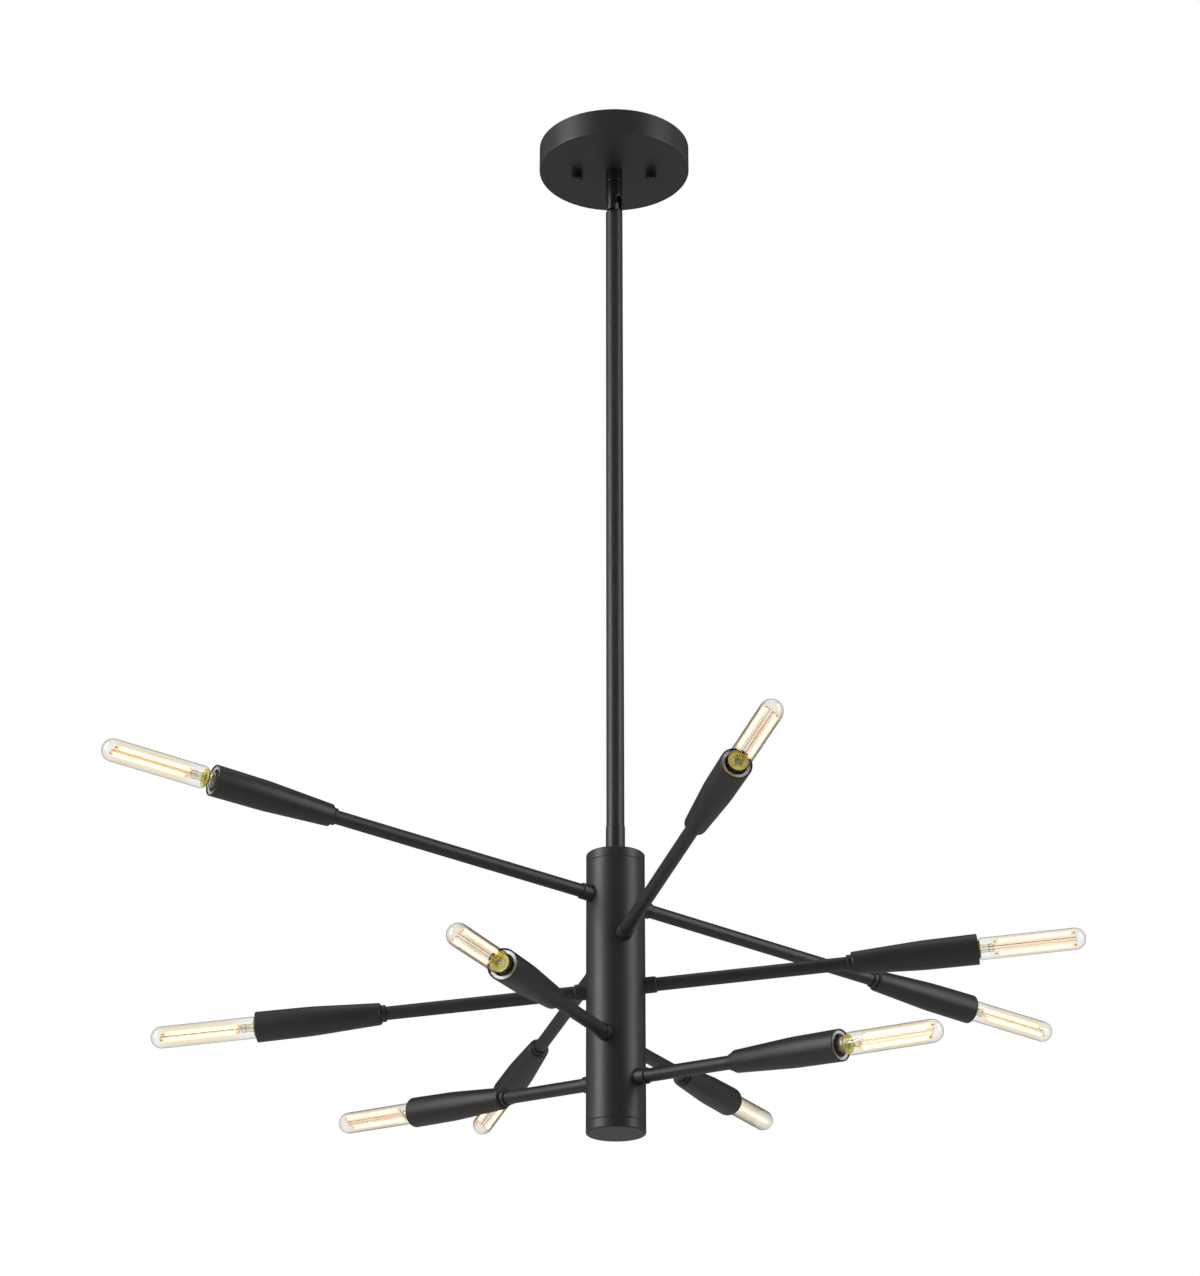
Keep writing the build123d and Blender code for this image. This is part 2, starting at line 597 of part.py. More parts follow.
# Ten bulbs, each turning in its own lamp holder
DOME = cos(radians(45))
for number, ((plane, reach), rise) in enumerate(zip(ARMS, SEAT_RISE), start=1):
    nose = reach - SOCKET_SETBACK + rise
    face = nose + BASE_OUT
    contact = nose - SOCKET_BORE_L + BASE_CONTACT_GAP
    centre = face + BULB_L - BULB_R
    name = f"bulb_{number:02d}"

    # Base: a flared skirt, the screw shell and a tapered end down to the contact
    with BuildPart() as bulb_base:
        with BuildSketch(plane):
            with BuildLine():
                Polyline(
                    (contact, 0),
                    (contact, BASE_CONTACT_D / 2),
                    (face - BASE_SKIRT_L - BASE_SHELL_L, BASE_SHELL_D / 2),
                    (face - BASE_SKIRT_L, BASE_SHELL_D / 2),
                    (face - BASE_SKIRT_L, BASE_SKIRT_D / 2),
                    (face, BASE_SKIRT_D / 2),
                    (face, 0),
                    close=True,
                )
            make_face()
        revolve(axis=arm_axis(plane))
    bulb_base.part.label = f"{name}_base"
    export_step(bulb_base.part, f"parts/{name}_base.step")

    # Glass: a thin tube with a drawn-in heel on the base and a round end
    with BuildPart() as bulb_glass:
        with BuildSketch(plane):
            with BuildLine():
                Polyline(
                    (centre, BULB_IN_R),
                    (face + BULB_HEEL_L, BULB_IN_R),
                    (face, BASE_SKIRT_D / 2 - BULB_WALL),
                    (face, BASE_SKIRT_D / 2),
                    (face + BULB_HEEL_L, BULB_R),
                    (centre, BULB_R),
                )
                ThreePointArc(
                    (centre, BULB_R), (centre + BULB_R * DOME, BULB_R * DOME), (centre + BULB_R, 0)
                )
                Line((centre + BULB_R, 0), (centre + BULB_IN_R, 0))
                ThreePointArc(
                    (centre + BULB_IN_R, 0),
                    (centre + BULB_IN_R * DOME, BULB_IN_R * DOME),
                    (centre, BULB_IN_R),
                )
            make_face()
        revolve(axis=arm_axis(plane))
    bulb_glass.part.label = f"{name}_glass"
    export_step(bulb_glass.part, f"parts/{name}_glass.step")

    # Filament frame: a stem on the base carries two upright strips between cross wires
    with BuildPart() as bulb_filament:
        with BuildSketch(plane):
            with Locations((face, 0)):
                Rectangle(FILAMENT_START, MOUNT_W, align=(Align.MIN, Align.CENTER))
            with Locations((face + FILAMENT_START + FILAMENT_L / 2, 0)):
                Rectangle(FILAMENT_L, 2 * FILAMENT_OFFSET + FILAMENT_T)
                Rectangle(
                    FILAMENT_L - 2 * FILAMENT_T,
                    2 * FILAMENT_OFFSET - FILAMENT_T,
                    mode=Mode.SUBTRACT,
                )
        extrude(amount=FILAMENT_T / 2, both=True)
    bulb_filament.part.label = f"{name}_filament"
    export_step(bulb_filament.part, f"parts/{name}_filament.step")
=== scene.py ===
# %% [markdown]
# # A ten-arm chandelier in satin black
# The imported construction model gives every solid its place, in metres, with the ceiling at height zero.
# This lesson dresses that model. It keeps the plain turned metal as it is, rebuilds what needs fine
# detail (cap nuts, cups, lamp holders and bulbs), and lights it like a studio picture.

# %% Load the fixed frame
import json
from math import cos, pi, radians, sin, tau

import bpy
from mathutils import Matrix, Vector


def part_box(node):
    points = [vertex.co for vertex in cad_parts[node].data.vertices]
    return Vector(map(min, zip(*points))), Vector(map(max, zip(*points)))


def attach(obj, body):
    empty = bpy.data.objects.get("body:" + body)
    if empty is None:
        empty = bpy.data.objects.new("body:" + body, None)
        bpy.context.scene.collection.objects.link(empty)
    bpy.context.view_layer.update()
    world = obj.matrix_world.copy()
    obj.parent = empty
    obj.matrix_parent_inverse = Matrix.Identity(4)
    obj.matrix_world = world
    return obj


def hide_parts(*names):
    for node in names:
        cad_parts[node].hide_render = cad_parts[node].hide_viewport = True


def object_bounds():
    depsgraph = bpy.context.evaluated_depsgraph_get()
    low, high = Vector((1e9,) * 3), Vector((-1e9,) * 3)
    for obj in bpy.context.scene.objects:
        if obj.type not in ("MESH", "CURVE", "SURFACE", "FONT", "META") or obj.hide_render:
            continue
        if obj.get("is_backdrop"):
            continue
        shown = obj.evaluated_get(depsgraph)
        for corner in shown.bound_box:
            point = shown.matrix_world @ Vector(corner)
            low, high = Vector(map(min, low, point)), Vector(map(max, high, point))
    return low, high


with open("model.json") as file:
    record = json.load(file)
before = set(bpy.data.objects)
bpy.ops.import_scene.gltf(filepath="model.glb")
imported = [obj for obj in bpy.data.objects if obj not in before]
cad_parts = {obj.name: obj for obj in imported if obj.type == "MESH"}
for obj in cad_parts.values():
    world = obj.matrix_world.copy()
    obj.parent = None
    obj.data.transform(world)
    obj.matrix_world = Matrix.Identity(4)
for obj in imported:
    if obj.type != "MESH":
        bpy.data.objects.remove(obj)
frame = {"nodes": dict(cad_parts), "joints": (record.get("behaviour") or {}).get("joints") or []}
cad_box = [list(corner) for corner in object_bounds()]
scene = bpy.context.scene

# %% [markdown]
# ## Camera
# The picture was taken from below with a long lens. A camera set by eye never lines up quite, so camera
# and model were fitted together: the place, the upward tilt and the focal length below put the pieces
# within a few pixels of their spots in the picture. Blender counts the focal length against a 36 mm
# sensor on the longer side, which is the upright one here.

# %% Camera at the viewing angle of the picture
PICTURE_H, FOCAL_PIXELS, SENSOR = 1276, 3236.3, 36.0
UP, LEFT = radians(23.364), radians(0.29)
camera = bpy.data.objects.new("camera", bpy.data.cameras.new("camera"))
scene.collection.objects.link(camera)
camera.data.sensor_width = SENSOR
camera.data.lens = FOCAL_PIXELS * SENSOR / PICTURE_H
camera.location = (0.0, -2.6532, -1.6543)
aim = Vector((-sin(LEFT) * cos(UP), cos(LEFT) * cos(UP), sin(UP)))
camera.rotation_euler = aim.to_track_quat("-Z", "Y").to_euler()
scene.camera = camera
print("lens", round(camera.data.lens, 2), "mm")

# %% [markdown]
# ## Colours and nodes
# Colours are written as the hex values seen on a screen. Shaders work with linear light, so one function
# turns the first into the second. A second function adds any node, sets it and links it, and takes the
# stops of a colour ramp as places with colours. Nodes could be joined by hand in the editor, but a few
# readable lines for each material are easier to repeat and to compare.

# %% Helpers for materials
MM = 0.001


def linear(colour):
    parts = [int(colour[i : i + 2], 16) / 255 for i in (1, 3, 5)]
    return [p / 12.92 if p <= 0.04045 else ((p + 0.055) / 1.055) ** 2.4 for p in parts] + [1.0]


def add(tree, kind, settings, links):
    made = tree.nodes.new("ShaderNode" + kind)
    for name, value in settings.items():
        if name == "stops":
            (start, first), *between, (end, last) = value
            stops = made.color_ramp.elements
            for place, colour in between:
                stops.new(place).color = linear(colour)
            stops[0].position, stops[0].color = start, linear(first)
            stops[-1].position, stops[-1].color = end, linear(last)
        elif isinstance(name, int) or name in made.inputs:
            made.inputs[name].default_value = value
        else:
            setattr(made, name, value)
    for name, source in links.items():
        tree.links.new(source, made.inputs[name])
    return made


def new_finish(name):
    """An empty material, its node tree, and the place of each point on the piece."""
    made = bpy.data.materials.new(name)
    made.use_nodes = True
    tree = made.node_tree
    tree.nodes.clear()
    return made, tree, add(tree, "TexCoord", {}, {}).outputs["Object"]


print("mid grey is", [round(c, 3) for c in linear("#808080")[:3]], "in linear light")

# %% [markdown]
# ## Studio
# The highlights on the round stem sit a little more than halfway to each edge, so two tall soft boxes
# stand about 70 degrees to either side of the camera, the left one stronger. Weaker boxes behind do the
# same for views from the back. A wide panel low down lights only the floor behind, because the flat
# undersides, seen from below, mirror that part of the floor. Point lamps would be simpler, but they
# leave dots on round metal where a studio's panels leave long soft bands.

# %% Soft boxes
MIDDLE = Vector((0, 0, -0.7))


def soft_box(name, heading, away, height, size, power, straight_down=False):
    light = bpy.data.lights.new(name, "AREA")
    light.shape = "RECTANGLE"
    light.size, light.size_y = size
    light.energy = power
    lamp = bpy.data.objects.new(name, light)
    scene.collection.objects.link(lamp)
    turn = radians(heading)
    lamp.location = (away * cos(turn), away * sin(turn), height)
    facing = Vector((0, 0, -1)) if straight_down else MIDDLE - lamp.location
    lamp.rotation_euler = facing.to_track_quat("-Z", "Y").to_euler()
    lamp.visible_camera = False
    print(name, power, "W")


soft_box("soft_box_left", -158, 2.6, 0.08, (1.2, 2.3), 105)
soft_box("soft_box_right", -22, 2.6, 0.08, (1.2, 2.3), 62)
soft_box("soft_box_back_left", 150, 3.0, 0.6, (0.9, 2.4), 5)
soft_box("soft_box_back_right", 30, 3.0, 0.6, (0.9, 2.4), 5)
soft_box("soft_box_front", -90, 2.4, 1.9, (2.6, 0.8), 4)
soft_box("soft_box_top", 0, 0.05, 2.4, (2.4, 2.4), 28)
soft_box("floor_panel", 90, 3.9, -1.0, (5.0, 3.6), 32, straight_down=True)

# %% [markdown]
# ## World and floor
# Black metal needs a dark room to stay black, while the picture has a white ground. A white world alone
# would turn the metal grey, so the world is white only where the camera looks straight at it or through
# glass. For everything else it is pale below the horizon and dark above it. The floor is matt paint. It
# stays dim for the metal that mirrors it, and a fill that only the camera sees keeps it pale.

# %% World
world = bpy.data.worlds.new("studio")
scene.world = world
world.use_nodes = True
tree = world.node_tree
tree.nodes.clear()
way = add(tree, "TexCoord", {}, {})
height = add(tree, "SeparateXYZ", {}, {"Vector": way.outputs["Generated"]})
room = add(tree, "ValToRGB", {"stops": ((0, "#aeaca8"), (0.18, "#2b2b2b"))}, {"Fac": height.outputs["Z"]})
dark = add(tree, "Background", {"Strength": 1.0}, {"Color": room.outputs["Color"]})
white = add(tree, "Background", {"Color": linear("#ffffff"), "Strength": 1.0}, {})
ray = add(tree, "LightPath", {}, {})
mixed = add(
    tree,
    "MixShader",
    {},
    {0: ray.outputs["Is Camera Ray"], 1: dark.outputs["Background"], 2: white.outputs["Background"]},
)
add(tree, "OutputWorld", {}, {"Surface": mixed.outputs["Shader"]})
scene.view_settings.view_transform = "Standard"
print("world with", len(tree.nodes), "nodes")

# %% Floor, matt pale paint
FLOOR_Z, FLOOR_R, FLOOR_SIDES = -2.45, 6, 64
FILL = 0.75
floor_paint, tree, spot = new_finish("floor_matt_pale_paint")
# Stipple of the paint roller, about 2 mm, drawn 20 mm wide because the floor is far off
roller = add(tree, "TexNoise", {"Scale": 1 / (20 * MM), "Detail": 3.0}, {"Vector": spot})
rough = add(tree, "MapRange", {"To Min": 0.75, "To Max": 0.9}, {"Value": roller.outputs["Fac"]})
matt = add(tree, "BsdfPrincipled", {"Base Color": linear("#efeeec")}, {"Roughness": rough.outputs["Result"]})
fill = add(tree, "Emission", {"Color": linear("#e6e5e3"), "Strength": 1.0}, {})
ray = add(tree, "LightPath", {}, {})
share = add(tree, "Math", {"operation": "MULTIPLY", 1: FILL}, {0: ray.outputs["Is Camera Ray"]})
pale = add(
    tree,
    "MixShader",
    {},
    {0: share.outputs[0], 1: matt.outputs["BSDF"], 2: fill.outputs["Emission"]},
)
add(tree, "OutputMaterial", {}, {"Surface": pale.outputs["Shader"]})
turns = [tau * k / FLOOR_SIDES for k in range(FLOOR_SIDES)]
ring = [(FLOOR_R * cos(t), FLOOR_R * sin(t), FLOOR_Z) for t in turns]
mesh = bpy.data.meshes.new("floor")
mesh.from_pydata(ring, [], [list(range(FLOOR_SIDES))])
mesh.materials.append(floor_paint)
floor = bpy.data.objects.new("floor", mesh)
scene.collection.objects.link(floor)
floor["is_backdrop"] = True
print("floor", round(cad_box[0][2] - FLOOR_Z, 2), "m under the column")

# %% [markdown]
# ## Black coats
# The large pieces are steel and aluminium under a satin black powder coat. Baked powder leaves a very
# fine orange peel, about 1 mm from crest to crest, and a soft sheen that spreads each highlight. The
# peel is drawn 2.5 mm wide here, because at its real size it is finer than a pixel. The coat's thickness
# drifts over some 30 mm, and its tone and gloss with it. Powder also rounds every edge it flows over. A
# bevel modifier could do that, but the solids' meshes stay as they are, so a bevel node bends the
# normals within a millimetre of an edge, and the edges catch the light. The swivel, its collar and the
# cap nuts are small brass turnings under black lacquer, which is smoother, so their sides are darker and
# their highlights narrower.

# %% Black coats
def black_coat(name, rough, dark, light):
    finish, tree, spot = new_finish(name)
    peel = add(tree, "TexNoise", {"Scale": 1 / (2.5 * MM), "Detail": 2.0}, {"Vector": spot})
    cloud = add(tree, "TexNoise", {"Scale": 1 / (30 * MM), "Detail": 3.0}, {"Vector": spot})
    tone = add(tree, "ValToRGB", {"stops": ((0, dark), (1, light))}, {"Fac": cloud.outputs["Fac"]})
    span = {"To Min": rough, "To Max": rough + 0.1}
    gloss = add(tree, "MapRange", span, {"Value": cloud.outputs["Fac"]})
    edge = add(tree, "Bevel", {"samples": 8, "Radius": 0.9 * MM}, {})
    bump = add(
        tree,
        "Bump",
        {"Strength": 0.15, "Distance": 0.03 * MM},
        {"Height": peel.outputs["Fac"], "Normal": edge.outputs["Normal"]},
    )
    coat = add(
        tree,
        "BsdfPrincipled",
        {"IOR": 1.5, "Specular IOR Level": 0.35},
        {
            "Base Color": tone.outputs["Color"],
            "Roughness": gloss.outputs["Result"],
            "Normal": bump.outputs["Normal"],
        },
    )
    add(tree, "OutputMaterial", {}, {"Surface": coat.outputs["BSDF"]})
    return finish


def coat_nodes(finish, names):
    for name in names.split():
        slots = frame["nodes"][name].data.materials
        slots.clear()
        slots.append(finish)
    print(finish.name, "on", names)


satin_black = black_coat("steel_satin_black_powder_coat", 0.42, "#181716", "#22211f")
gloss_black = black_coat("brass_turned_black_lacquer", 0.22, "#0d0c0c", "#151413")
coat_nodes(satin_black, "canopy stem stem_coupling top_cap column bottom_cap arm_bosses arm_tubes")
coat_nodes(gloss_black, "neck_collar swivel_yoke pivot_pins swivel_tongue")

# %% [markdown]
# ## Plated hardware
# What holds the lamp together is hidden in the canopy and the column: bar, studs, nuts, pipe and set
# screw of bright zinc plated steel, and an earth screw dyed green. Zinc gives the eye a pale grey with
# faint cloudy patches a few millimetres wide. An image of it could be wrapped round each piece, but a
# noise in space needs no unwrapping and fits any shape. Other finishes below are clouded too, so one
# function makes them.

# %% Clouded finishes
def clouded(name, size, detail, tones, settings, gloss=None):
    """Tone, and gloss where its span is given, follow a noise of this size in millimetres."""
    finish, tree, spot = new_finish(name)
    cloud = add(tree, "TexNoise", {"Scale": 1 / (size * MM), "Detail": detail}, {"Vector": spot})
    tone = add(tree, "ValToRGB", {"stops": list(zip((0, 1), tones))}, {"Fac": cloud.outputs["Fac"]})
    links = {"Base Color": tone.outputs["Color"]}
    if gloss:
        span = {"To Min": gloss[0], "To Max": gloss[1]}
        links["Roughness"] = add(tree, "MapRange", span, {"Value": cloud.outputs["Fac"]}).outputs["Result"]
    skin = add(tree, "BsdfPrincipled", settings, links)
    add(tree, "OutputMaterial", {}, {"Surface": skin.outputs["BSDF"]})
    print(name, "made, clouded over", size, "mm")
    return finish


# %% Steel, zinc plated and green dyed
METAL = {"Metallic": 1.0}
zinc = clouded("steel_bright_zinc_plated", 4, 4.0, ("#a9acae", "#c9cbc8"), METAL, (0.24, 0.42))
# The dye pools in patches of about 1.5 mm, and the plating under it still shines
GREEN = ("#1d6b33", "#2f8a48")
green_plate = clouded("steel_green_dyed_plating", 1.5, 3.0, GREEN, {**METAL, "Roughness": 0.35})
coat_nodes(zinc, "mounting_bar canopy_studs stud_lock_nuts nipple nipple_nut set_screw")
coat_nodes(zinc, "centre_pipe pipe_nuts arm_nuts")
coat_nodes(green_plate, "ground_screw")

# %% [markdown]
# ## Turning pieces
# Cups, lamp holders and bulbs are round, and a lathe makes them: an outline in millimetres, given as
# places along the axis with their radius, is turned about local Z. A third number eases that corner with
# a small round, because real edges are never knife sharp and the eye looks for the highlight on them. A
# screw modifier could turn the outline too. Mesh code is used because a shape function may then change
# the radius by angle, which makes knurls and threads. Wires are drawn as rods along a line.

# %% Lathe
EASE_STEPS = (0, 0.2, 0.4, 0.6, 0.8, 1)


def eased(outline):
    points = []
    for i, (along, out, *ease) in enumerate(outline):
        here = Vector((along, out))
        if not ease:
            points.append(here)
            continue
        back = (Vector(outline[i - 1][:2]) - here).normalized() * ease[0]
        on = (Vector(outline[i + 1][:2]) - here).normalized() * ease[0]
        points += [here + back * (1 - t) ** 2 + on * t**2 for t in EASE_STEPS]
    return points


def turned(outline, sides=72, shape=None):
    points, faces, rows = [], [], []
    for along, out in eased(outline):
        if out < 1e-6:
            rows.append([len(points)] * sides)
            points.append((0, 0, along * MM))
            continue
        rows.append([len(points) + k for k in range(sides)])
        for k in range(sides):
            turn = tau * k / sides
            radius = (shape(turn, along, out) if shape else out) * MM
            points.append((radius * cos(turn), radius * sin(turn), along * MM))
    for low, high in zip(rows, rows[1:]):
        for k in range(sides):
            n = (k + 1) % sides
            face = list(dict.fromkeys((low[k], low[n], high[n], high[k])))
            if len(face) > 2:
                faces.append(face)
    return points, faces


print("a ring turned on 8 sides has", len(turned([(0, 5), (1, 5)], 8)[1]), "faces")

# %% Rod
def rod(path, radius, sides=10):
    """A round rod along (x, z) points in the local XZ plane, in millimetres."""
    line = [Vector((x, 0, z)) for x, z in path]
    points, faces = [], []
    for i, here in enumerate(line):
        before, after = line[max(i - 1, 0)], line[min(i + 1, len(line) - 1)]
        across = (after - before).normalized().cross(Vector((0, 1, 0)))
        for k in range(sides):
            turn = tau * k / sides
            points.append((here + across * radius * cos(turn) + Vector((0, radius * sin(turn), 0))) * MM)
        if i:
            old, new = (i - 1) * sides, i * sides
            for k in range(sides):
                n = (k + 1) % sides
                faces.append([old + n, old + k, new + k, new + n])
    faces += [list(range(sides)), list(range(len(points) - 1, len(points) - sides - 1, -1))]
    return points, faces


print("a rod on 8 sides has", len(rod([(0, 0), (0, 5)], 1, 8)[1]), "faces, with its ends")

# %% One mesh from several shapes, and its place
SHARP = radians(32)


def mesh_of(name, *shapes):
    """Each shape is (points, faces, finish)."""
    mesh = bpy.data.meshes.new(name)
    points, faces, finishes, index = [], [], [], []
    for spots, sides, finish in shapes:
        if finish not in finishes:
            finishes.append(finish)
        index += [finishes.index(finish)] * len(sides)
        faces += [[k + len(points) for k in side] for side in sides]
        points += spots
    mesh.from_pydata(points, [], faces)
    for finish in finishes:
        mesh.materials.append(finish)
    mesh.polygons.foreach_set("material_index", index)
    mesh.shade_smooth()
    mesh.set_sharp_from_angle(angle=SHARP)
    print(name, "has", len(faces), "faces and", len(finishes), "finishes")
    return mesh


def put(name, mesh, where, body, slot, *nodes):
    piece = bpy.data.objects.new(name, mesh)
    scene.collection.objects.link(piece)
    piece.matrix_world = where
    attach(piece, body)
    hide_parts(*nodes)


# %% [markdown]
# ## Cap nuts
# Two knurled cap nuts hold the pan on its studs. A knurl is a ring of fine grooves that gives the
# fingers a grip. It could be a bump in the finish, but real grooves also show in the outline, so here
# the lathe's radius follows a wave round the nut. The end has a broad chamfer, which makes the light
# ring in the picture, round a shallow dish.

# %% Knurled cap nuts
low, high = (Vector(corner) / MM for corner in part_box("cap_nuts"))
NUT_R, NUT_H = (high.y - low.y) / 2, high.z - low.z
GROOVES, GROOVE_DEPTH, PLAIN_FOOT, PLAIN_END = 28, 0.45, 0.5, 2.0
NUT_SIDES = 4 * GROOVES
STUD_R, STUD_IN = 2.05, 0.71 * NUT_H


def knurled(turn, along, out):
    deep = min(1, max(0, along - PLAIN_FOOT), max(0, NUT_H - PLAIN_END - along))
    return out - GROOVE_DEPTH * deep * (0.5 - 0.5 * cos(GROOVES * turn))


grip = [(NUT_H * k / 12, NUT_R) for k in range(1, 10)]
end = [
    (NUT_H - 1.5, NUT_R, 0.2),
    (NUT_H, NUT_R - 1.3, 0.25),
    (NUT_H - 0.5, NUT_R - 2.2, 0.3),
    (NUT_H - 0.6, 0.0),
]
bore = [(STUD_IN, 0.0), (STUD_IN, STUD_R), (0.0, STUD_R)]
nut = mesh_of(
    "cap_nut",
    (*turned(bore, NUT_SIDES), gloss_black),
    (*turned([(0.0, STUD_R), (0.0, NUT_R, 0.2)] + grip + end, NUT_SIDES, knurled), gloss_black),
)
for number, x in enumerate((low.x + NUT_R, high.x - NUT_R), start=1):
    seat = Vector((x, (low.y + high.y) / 2, high.z)) * MM
    where = Matrix.Translation(seat) @ Matrix.Rotation(pi, 4, "X")
    put(f"cap_nut_{number}", nut, where, "canopy", "black_metal", "cap_nuts")
print("two cap nuts", round(2 * NUT_R, 1), "mm across with", GROOVES, "grooves")

# %% [markdown]
# ## The ten arms
# Each bulb's screw axis is a joint of the construction model, so the joint gives the arm's line for
# free. Ten matrices could be typed in, but read from the joints they stay right when the model changes.
# The cup's mouth is the furthest point of its solid along that line. A matrix with its origin in the
# middle of the mouth and its Z axis outwards places the cup. The lamp holders sit at different depths,
# so a second matrix is moved along that axis to the heel of the glass and places the bulb.

# %% Frames at the cup mouths and bulb heels
class Arm:
    def __init__(self, joint):
        self.bulb = joint["child"]
        self.number = int(self.bulb[-2:])
        self.cups = f"cups_{(self.number + 1) // 2}"
        root = Vector(joint["pos_m"])
        out = Vector(joint["axis"]).normalized()
        mouth = max((v.co - root).dot(out) for v in frame["nodes"][self.cups].data.vertices)
        side = Vector((0, 0, 1)).cross(out).normalized()
        turn = Matrix((side, out.cross(side), out)).transposed().to_4x4()
        self.mouth = Matrix.Translation(root + out * mouth) @ turn
        self.heel = self.mouth @ Matrix.Translation((0, 0, self.measure(f"{self.bulb}_glass")[0] * MM))

    def measure(self, node, near=1000):
        """Start, end and radius of a node's points near the mouth, in millimetres along this arm."""
        back = self.mouth.inverted()
        spots = [back @ v.co / MM for v in frame["nodes"][node].data.vertices]
        spots = [s for s in spots if s.length < near]
        along = [s.z for s in spots]
        return min(along), max(along), max(s.xy.length for s in spots)


arms = [Arm(joint) for joint in frame["joints"] if joint["name"].startswith("turn_bulb")]
HEEL_AT, TIP_AT, GLASS_R = arms[0].measure("bulb_01_glass")
GLASS_L = TIP_AT - HEEL_AT
print("glass", round(GLASS_L, 2), "mm long, radius", round(GLASS_R, 2))
print("heels", [round(arm.measure(f"{arm.bulb}_glass")[0], 1) for arm in arms], "mm out of the mouths")

# %% [markdown]
# ## Cups
# Each cup is an aluminium turning: a neck ring on the arm, a rounded shoulder, a straight taper and an
# open mouth. Only the outside and the thin rim are coated. The ledge just inside the mouth and the bore
# below it are left bare, and the bulb lights them up, which is why a bright ring shows inside the black
# rim. The solids could be kept, but they have sharp edges and one finish each, so the cups are turned
# again on the same outline, with eased edges and two finishes.

# %% Aluminium, bare turned bore
bare, tree, spot = new_finish("aluminium_bare_turned_bore")
# Tool marks about 0.2 mm apart break the shine into rings. They are drawn 1 mm apart so that they show.
# A wave texture of scale 1 repeats every tau / 20 units.
marks = add(
    tree,
    "TexWave",
    {"bands_direction": "Z", "Scale": tau / 20 / (1 * MM), "Distortion": 1.0, "Detail": 2.0},
    {"Vector": spot},
)
gloss = add(tree, "MapRange", {"To Min": 0.48, "To Max": 0.62}, {"Value": marks.outputs["Fac"]})
bump = add(tree, "Bump", {"Strength": 0.2, "Distance": 0.05 * MM}, {"Height": marks.outputs["Fac"]})
skin = add(
    tree,
    "BsdfPrincipled",
    {"Base Color": linear("#b2b2b0"), **METAL},
    {"Roughness": gloss.outputs["Result"], "Normal": bump.outputs["Normal"]},
)
add(tree, "OutputMaterial", {}, {"Surface": skin.outputs["BSDF"]})
print(bare.name, "made with", len(tree.nodes), "nodes")

# %% Cup shells
CUP_L, ARM_R, NECK_R = 111.8, 5.95, 7.3
SHOULDER, TAPER_END = 107.8, 47.8
MOUTH_R, RIM_R, LEDGE = 13.2, 12.0, 1.0
BORE_R, BORE_L = 9.3, 46.0
cup_outside = [
    (-CUP_L, ARM_R),
    (-CUP_L, NECK_R, 0.6),
    (-SHOULDER - 0.4, NECK_R, 0.3),
    (-SHOULDER, NECK_R - 0.3, 0.2),
    (-SHOULDER, 9.45, 2.0),
    (-TAPER_END, 12.7, 6.0),
    (0.0, MOUTH_R, 0.55),
    (0.0, RIM_R, 0.5),
    (-LEDGE, RIM_R),
]
cup_inside = [
    (-LEDGE, RIM_R),
    (-LEDGE, BORE_R, 0.3),
    (-BORE_L, BORE_R, 1.5),
    (-BORE_L, ARM_R),
    (-CUP_L, ARM_R),
]
shell = mesh_of("cup_shell", (*turned(cup_outside), satin_black), (*turned(cup_inside), bare))
for arm in arms:
    put(f"cup_{arm.number:02d}", shell, arm.mouth, "pendant", "black_metal", arm.cups)

# %% [markdown]
# ## Lamp holders
# Inside each mouth sits a black phenolic lamp holder with a rounded nose and a groove behind it. Moulded
# phenolic looks dark, slightly brown and half glossy, with a fine grain from its filler, about 0.3 mm,
# drawn 1 mm so that it shows. One mesh could serve all ten, but the holders end at different depths, so
# each is turned to its own.

# %% Phenolic, moulded black
PHENOLIC = {"Roughness": 0.42, "IOR": 1.6}
phenolic = clouded("phenolic_moulded_black", 1, 3.0, ("#100e0d", "#1d1a18"), PHENOLIC)

# %% Holder shells
HOLDER_R, GROOVE_R, SCREW_R, SCREW_L = 8.8, 8.3, 6.02, 20.0
for arm in arms:
    nose = arm.measure("sockets", near=50)[1]
    holder = [
        (-BORE_L, 0.0),
        (-BORE_L, HOLDER_R, 0.4),
        (nose - 6.0, HOLDER_R, 0.2),
        (nose - 5.6, GROOVE_R, 0.2),
        (nose - 4.4, GROOVE_R, 0.2),
        (nose - 4.0, HOLDER_R, 0.2),
        (nose, HOLDER_R, 0.9),
        (nose, SCREW_R, 0.3),
        (nose - SCREW_L, SCREW_R),
        (nose - SCREW_L, 0.0),
    ]
    mesh = mesh_of(f"lamp_holder_{arm.number:02d}", (*turned(holder), phenolic))
    put(mesh.name, mesh, arm.mouth, "pendant", "socket_plastic", "sockets")
    print("its nose is", round(-nose, 1), "mm inside the mouth")

# %% [markdown]
# ## Bulb bases
# A bulb's base is nickel plated brass strip rolled into a screw shell, with a plain skirt crimped on the
# glass and a soldered contact on a black insulator. A thread is often swept along a helix, which leaves
# loose ends. This one is a rounded wave that climbs 2.54 mm each turn, so the lathe's radius follows the
# angle as well as the height, and the shell stays one skin.

# %% Brass, nickel plated and rolled
# Rolled plating has a soft warm shine and is faintly uneven over about 0.2 mm, drawn 0.8 mm wide so that
# it shows
nickel = clouded("brass_nickel_plated_rolled", 0.8, 2.0, ("#c9c2b4", "#e6e1d6"), METAL, (0.3, 0.42))

# %% Bases with a rolled thread
BASE_START, BASE_END, SKIRT_R = arms[0].measure("bulb_01_base")
BASE_START, BASE_END = BASE_START - HEEL_AT, BASE_END - HEEL_AT
SHELL_R, SHELL_L, SKIRT_L, FOOT_R = 5.93, 13.0, 10.0, 5.4
PITCH, THREAD_DEPTH, THREAD_ROWS = 2.54, 0.28, 52
SHELL_END = BASE_END - SKIRT_L
SHELL_START = SHELL_END - SHELL_L


